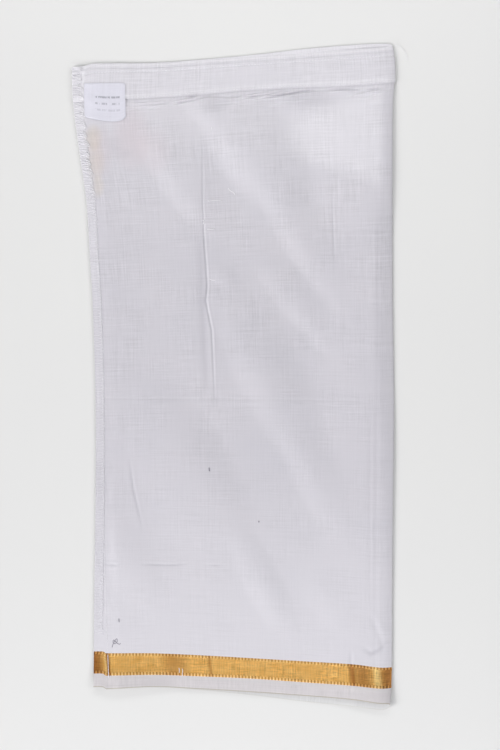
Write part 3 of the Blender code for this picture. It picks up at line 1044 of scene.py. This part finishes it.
def build_overlock(material):
    """Overlock: looper threads that run out round the raw edge and back on both plies, looser near the
    waist, and a needle line that holds them. On the front it stops above the border, where it is tucked."""
    runs = []
    high = line_y("waist", -128.0, 0) - 1.2
    lows = {True: line_y("border_head", -112.0, 0) + 14.0, False: line_y("hem", -112.0, 0) + 0.6}
    for front, low in lows.items():
        points, radii = [], []
        for number, start in enumerate(np.arange(low, high, OVERLOCK_PITCH)):
            loose = 0.3 * rise(start, 150, 180) * np.sin(number * 2.1)
            uneven = 0.1 * np.sin(number * 2.1) + 0.1 * np.sin(number * 0.77 + 1) + 0.5 * loose
            radius = LOOPER * (TIGHT_LOOPER + (1 - TIGHT_LOOPER) * rise(start, 90, 180)) * (1 + loose)
            for turn in np.arange(LOOP_SIDES) * 2 * pi / LOOP_SIDES:
                reach = (0.5 + 0.53 * np.cos(turn)) * (1 + uneven)
                up = turn / (2 * pi) + (0.5 + uneven) * np.sin(turn)
                lift = radius * (0.7 + 0.9 * np.clip(np.sin(turn), 0, 1))
                radii.append(radius)
                share = reach * OVERLOCK_REACH / allowance_width(start)
                points.append(strip_point(share, start + up * OVERLOCK_PITCH, front, lift))
        runs.append((points, radii))
        ups = np.linspace(low, high, 220)
        line = strip_point(OVERLOCK_REACH / allowance_width(ups), ups, front, LOOPER)
        runs += stitch_runs(line, ply_out(front, ups), OVERLOCK_PITCH, 0.75, NEEDLE_THREAD * 1.4, 0.0)
    return thread_mesh("overlock_thread", runs, material)


# Pitch of the side seam's chain stitch, and its thread's radius where it crosses the hard border.
CHAIN_PITCH = 2.6
BORDER_LOOP = 0.26


def build_seam_stitches(material):
    """The side seam's chain stitch, from hem to waist on both sides; it stands proud on the hard border."""
    runs = []
    border, above = line_y("border_head", -100.0, 0) + 0.4, line_y("waist", -119.0, 0) - 1.5
    lengths = ((line_y("hem", -100.0, 0) + 9, border, BORDER_LOOP), (border + 1, above, NEEDLE_THREAD))
    for front in (True, False):
        for low, high, radius in lengths:
            ups = np.linspace(low, high, 200)
            line = strip_point(0.985, ups, front, radius - 0.12)
            runs += stitch_runs(line, ply_out(front, ups), CHAIN_PITCH, 0.96, radius, 0.0)
    return thread_mesh("side_seam_stitches", runs, material)


# Radius and pitch of the casing's stitches.
THREAD = 0.16
CASING_PITCH = 2.55


def under_label(points):
    """Whether a stitch is one of those that the label covers."""
    x, y, z = points.mean(axis=0)
    left = seam_line(y) + LABEL_LEFT
    return left < x < left + LABEL_WIDTH and y < LABEL_TOP and z > STRIP_FRONT


def build_casing_stitches(material):
    """The casing's two stitch lines: one near its top fold, one along its lower edge."""
    round_tube = columns(front_strip=4, front_flat=150, front_roll=12, back_roll=8,
                         back_flat=150, back_strip=4)
    runs = []
    for row in (1 - TOPSTITCH_DOWN / CASING_DEPTH, 0.04):
        points, out = lay("casing_seam", "waist", [row], round_tube)
        runs += stitch_runs(casing_outside(points, out)[0], out[0], CASING_PITCH, 0.76, THREAD, 0.03)
    runs = [run for run in runs if not under_label(run[0])]
    return thread_mesh("casing_stitches", runs, material, 5)


# The label: how far in from the seam its left side lies, its width and the height of its top, and the plain
# dashes on it, measured up the ribbon from its hidden end and along it from its left side. Its loop starts at
# this share of the way down.
LABEL_LEFT = 0.2
LABEL_WIDTH = 33.0
LABEL_TOP = 234.4
DASH_ROW = 16.8
DASH_STEP = 5.0
DASH_TALL = 1.5
DASH_REACH = (9.0, 29.0)
DASH_STRENGTHS = (0.6, 0.45, 0.25)
LOOP_START = 0.91


def build_label(material):
    """The label: a ribbon caught in the seam at its left, turned under at its top, and doubled back in a
    soft rounded loop at its foot."""
    across = np.linspace(0, 1, 49)
    foot = 203.4 + 4.2 * (1 - across) ** 2.2 + 4.2 * across ** 9
    top = LABEL_TOP + 0.4 * across - 1.2 * across ** 24
    # Each row is its share of the way down and its lift, from the turned end over the face to the back.
    rows = [(down, 0.12) for down in np.linspace(0.2, 0.0, 6)]
    for turn in np.linspace(0, pi, 6)[1:-1]:
        rows.append((-0.006 * np.sin(turn), 0.12 + 0.12 * (1 - np.cos(turn))))
    for down in np.linspace(0.0, LOOP_START, 40):
        swell = 0.75 * ease((down - 0.62) / 0.34) + 0.24 * np.sin(down * 13) + 0.35 * bell(down - 0.05, 0.03)
        rows.append((down, 0.36 + swell))
    for turn in np.linspace(0, pi, 10)[1:]:
        rows.append((LOOP_START + (1 - LOOP_START) * np.sin(turn), 0.15 + 0.5 * (1 + np.cos(turn))))
    rows += [(down, 0.12) for down in np.linspace(LOOP_START, 0.3, 8)[1:]]
    held = ease(across / 0.25) * (1 - 0.8 * across ** 14)
    grid = []
    for down, lift in rows:
        y = top + (foot - top) * down
        x = seam_line(y) + LABEL_LEFT + LABEL_WIDTH * across
        bridge = CASING_PLY * rise(y, 214, 226) + 0.6 * bell(y - 221.6, 5)
        z = front_rise(x, y) + curl(x, y) + bridge + 0.12 + (lift - 0.12) * (0.3 + 0.7 * held)
        grid.append(np.stack([x, y, z], -1))
    return sheet_mesh("label_ribbon", np.array(grid), material)


def on_front(path, lift=0.1):
    """A path of (x, y) on top of the front layer."""
    x, y = np.array(path, float).T
    return np.stack([x, y, front_rise(x, y) + curl(x, y) + over_casing(x, y) + lift], -1)


def smooth_path(points, steps=6):
    """A smooth run through a few points."""
    points = np.asarray(points, float)
    slopes = np.gradient(points, axis=0)
    fine = np.linspace(0, len(points) - 1, (len(points) - 1) * steps + 1)
    i = np.clip(fine.astype(int), 0, len(points) - 2)
    return hermite(points[i], points[i + 1], slopes[i], slopes[i + 1], (fine - i)[:, None])


# Loose ends and slubs that lie on the front: a path in millimetres and a thread radius.
WHITE_BITS = (
    (((-43.6, -232.8), (-43.2, -234.6), (-43.4, -236.6)), 0.26),
    (((-40.9, -233.4), (-40.6, -235.2), (-40.9, -237.6), (-40.5, -239.0)), 0.26),
    (((-20.4, 140.4), (-14.0, 140.9), (-9.0, 140.5)), 0.22),
    (((-24.4, 125.4), (-23.4, 123.6), (-24.2, 122.0)), 0.4),
    (((-4.2, 150.6), (-2.4, 148.6), (-0.2, 147.4), (1.2, 145.6)), 0.3),
    (((-17.6, 199.6), (-17.0, 197.4)), 0.35),
    (((-21.0, 118.0), (-17.8, 117.8), (-15.2, 118.2)), 0.3),
    (((-19.8, 78.4), (-16.6, 77.2), (-14.2, 77.0)), 0.26),
)
GREY_BITS = (
    (((-97.0, -216.4), (-96.2, -213.4), (-94.6, -210.8), (-93.2, -209.4), (-93.0, -211.6), (-94.4, -213.4),
      (-96.4, -212.2), (-95.6, -210.4), (-93.6, -212.6), (-91.4, -213.8), (-90.2, -213.2)), 0.2),
    (((-19.5, -72.6), (-19.3, -75.4)), 0.42),
    (((20.1, -115.2), (20.3, -116.4)), 0.45),
    (((-91.6, -193.4), (-91.4, -196.2)), 0.25),
)
CORNER_THREAD = ((122.0, 262.8, 4.4), (125.4, 264.4, 3.2), (129.4, 264.9, 1.6), (133.6, 263.6, 0.5),
                 (137.0, 260.6, 0.3), (138.8, 256.8, 0.3), (139.0, 253.4, 0.3))


def build_white_bits(material):
    """Loose white threads and raised slubs, with the long end that lies off the waist's corner."""
    runs = [(smooth_path(on_front(path)), radius) for path, radius in WHITE_BITS]
    runs.append((smooth_path(CORNER_THREAD), 0.14))
    return thread_mesh("loose_white_threads", runs, material)


def build_grey_bits(material):
    """A snipped grey thread that was never picked off, and darker slubs."""
    runs = [(smooth_path(on_front(path)), radius) for path, radius in GREY_BITS]
    return thread_mesh("grey_lint", runs, material)


# Half the paper's side, and how far it lies under the cloth, both in metres.
SWEEP = 3.0
SWEEP_DROP = 0.00005


def build_stage():
    """Paper sweep, camera and studio lights."""
    mesh = bpy.data.meshes.new("paper_sweep")
    corners = [(-SWEEP, -SWEEP, 0), (SWEEP, -SWEEP, 0), (SWEEP, SWEEP, 0), (-SWEEP, SWEEP, 0)]
    mesh.from_pydata(corners, [], [(0, 1, 2, 3)])
    mesh.materials.append(paper_sweep())
    sweep = in_scene("paper_sweep", mesh)
    sweep.location.z = -SWEEP_DROP

    camera = bpy.data.cameras.new("camera")
    camera.lens = camera.sensor_width * CAMERA_HEIGHT / VIEW_LENGTH
    seat = in_scene("camera", camera)
    seat.location = (VIEW_CENTRE[0] * MM, VIEW_CENTRE[1] * MM, CAMERA_HEIGHT * MM)
    bpy.context.scene.camera = seat

    for lamp in LAMPS:
        light = bpy.data.lights.new(lamp.name, "AREA")
        light.shape = "RECTANGLE"
        light.size, light.size_y = lamp.size
        light.energy = lamp.power
        light.color = lamp.colour
        holder = in_scene(lamp.name, light)
        holder.location = lamp.place
        holder.rotation_euler = (-holder.location).to_track_quat("-Z", "Y").to_euler()

    world = bpy.data.worlds.new("studio")
    world.use_nodes = True
    backdrop = world.node_tree.nodes["Background"]
    backdrop.inputs["Color"].default_value = linear("#FBFBFF")
    backdrop.inputs["Strength"].default_value = AMBIENT
    bpy.context.scene.world = world
    bpy.context.scene.view_settings.view_transform = "Standard"


# The view is straight down on the table, 600 mm tall at the table.
VIEW_LENGTH = 600.0
VIEW_CENTRE = (13.2, 1.4)
CAMERA_HEIGHT = 2400.0
Lamp = namedtuple("Lamp", "name place size power colour")
LAMPS = (
    Lamp("left_softbox", (-4.0, -1.9, 2.55), (2.3, 2.3), 199.0, (1.0, 0.995, 0.985)),
    Lamp("right_reflector", (3.4, 0.3, 2.4), (1.6, 1.6), 31.0, (1.0, 1.0, 1.0)),
    Lamp("head_softbox", (0.04, 0.76, 0.6), (0.9, 0.35), 3.0, (1.0, 1.0, 0.985)),
    Lamp("foot_softbox", (0.04, -0.76, 0.6), (0.9, 0.35), 2.7, (0.985, 0.99, 1.0)),
)
AMBIENT = 0.225

white_voile = voile_woven()
selvedge = selvedge_woven()
zari = zari_woven()
white_thread = thread_spun("white_polyester_thread", "#EDECF0")
grey_thread = thread_spun("grey_polyester_thread", "#8F8D98")

body = build_body(white_voile)
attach(body, "root")
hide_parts("front_panel", "back_panel", "side_seam")

selvedge_cloth = build_selvedge(selvedge)
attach(selvedge_cloth, "root")
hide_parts("front_selvedge", "back_selvedge", "side_seam_selvedge")

border = build_border(zari)
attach(border, "root")
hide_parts("front_zari_border", "back_zari_border", "side_seam_border")

casing = build_casing(white_voile)
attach(casing, "root")
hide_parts("front_waist_casing", "back_waist_casing", "side_seam_waist")

label = build_label(satin_ribbon())
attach(label, "root")
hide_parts("care_label")

for threads in (build_overlock(white_thread), build_seam_stitches(white_thread),
                build_casing_stitches(white_thread), build_white_bits(white_thread),
                build_grey_bits(grey_thread)):
    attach(threads, "root")

build_stage()
